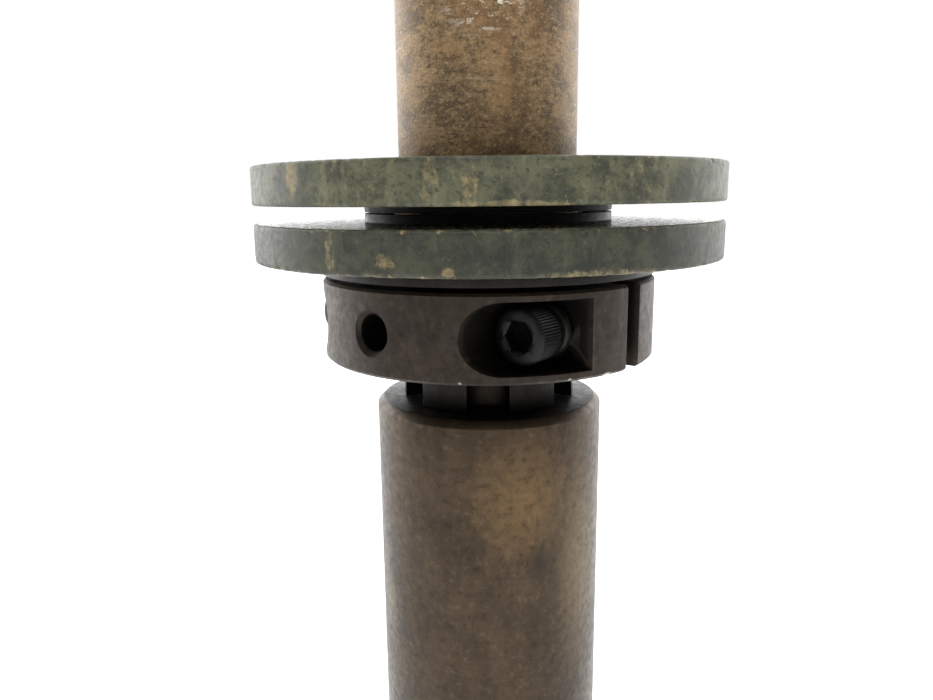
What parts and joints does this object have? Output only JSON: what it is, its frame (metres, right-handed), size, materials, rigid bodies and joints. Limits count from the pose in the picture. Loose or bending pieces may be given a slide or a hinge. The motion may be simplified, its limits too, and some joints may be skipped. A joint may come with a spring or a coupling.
{
  "type": "oldham coupling",
  "caption": "Shaft coupling: two flanged hubs joined by a hidden crossed-tongue floating disc, the output hub gripped on its shaft by a two-piece clamp collar.",
  "frame": {"origin": "centre of the output shaft's lower end face, on the common shaft axis", "axes": "+Z along the shaft axis from the output shaft to the input shaft; the clamp collar's split plane is XZ and its screw heads and radial hole face -Y"},
  "size_m": [0.09, 0.09, 0.1737],
  "materials": {
    "rusted_steel": "bare steel shaft with mottled brown rust and fine scratches",
    "green_paint": "old dark green paint, chipped to ochre and bare metal at the edges",
    "black_steel": "black oxide, slightly oily",
    "brown_steel": "dark browned steel with fine turning lines",
    "worn_shaft_steel": "browned steel with turning lines and faint tan stains",
    "black_screw": "black oxide, knurled heads on the clamp screws",
    "washer_steel": "dulled steel",
    "bronze": "machined bearing bronze, oily",
    "bright_steel": "ground steel pin"
  },
  "bodies": {
    "output": {"output_shaft": "worn_shaft_steel", "output_hub": "brown_steel", "output_flange": "green_paint", "flange_screw_1": "black_screw", "flange_screw_2": "black_screw", "flange_screw_3": "black_screw", "flange_screw_4": "black_screw", "collar_front_half": "brown_steel", "clamp_washer_right": "washer_steel", "clamp_washer_left": "washer_steel"},
    "disc": {"floating_disc": "bronze"},
    "input": {"input_hub": "black_steel", "input_flange": "green_paint", "input_shaft": "rusted_steel", "hub_screw_1": "black_screw", "hub_screw_2": "black_screw", "hub_screw_3": "black_screw", "hub_screw_4": "black_screw", "dowel_front": "bright_steel", "dowel_rear": "bright_steel", "flange_pin_front": "bright_steel", "flange_pin_rear": "bright_steel"},
    "clamp_screw_right": {"clamp_screw_right": "black_screw"},
    "clamp_screw_left": {"clamp_screw_left": "black_screw"},
    "collar_rear": {"collar_rear_half": "brown_steel"}
  },
  "joints": [
    {"name": "disc_slide_y", "type": "slide", "parent": "output", "child": "disc", "axis": [0, 1, 0], "range_m": [-0.0015, 0.0015]},
    {"name": "input_slide_x", "type": "slide", "parent": "disc", "child": "input", "axis": [1, 0, 0], "range_m": [-0.0015, 0.0015]},
    {"name": "clamp_screw_right_turn", "type": "hinge", "parent": "output", "child": "clamp_screw_right", "pos_m": [0.0223, -0.01442, 0.0982], "axis": [0, -1, 0], "range_deg": [0, 1080]},
    {"name": "clamp_screw_left_turn", "type": "hinge", "parent": "output", "child": "clamp_screw_left", "pos_m": [-0.0223, -0.01442, 0.0982], "axis": [0, -1, 0], "range_deg": [0, 1080]},
    {"name": "collar_open", "type": "slide", "parent": "output", "child": "collar_rear", "axis": [0, 1, 0], "range_m": [0, 0.003]}
  ],
  "couplings": [
    {"joint": "clamp_screw_left_turn", "follows": "collar_open", "rad_per_m": 6283.2},
    {"joint": "clamp_screw_right_turn", "follows": "collar_open", "rad_per_m": 6283.2}
  ]
}
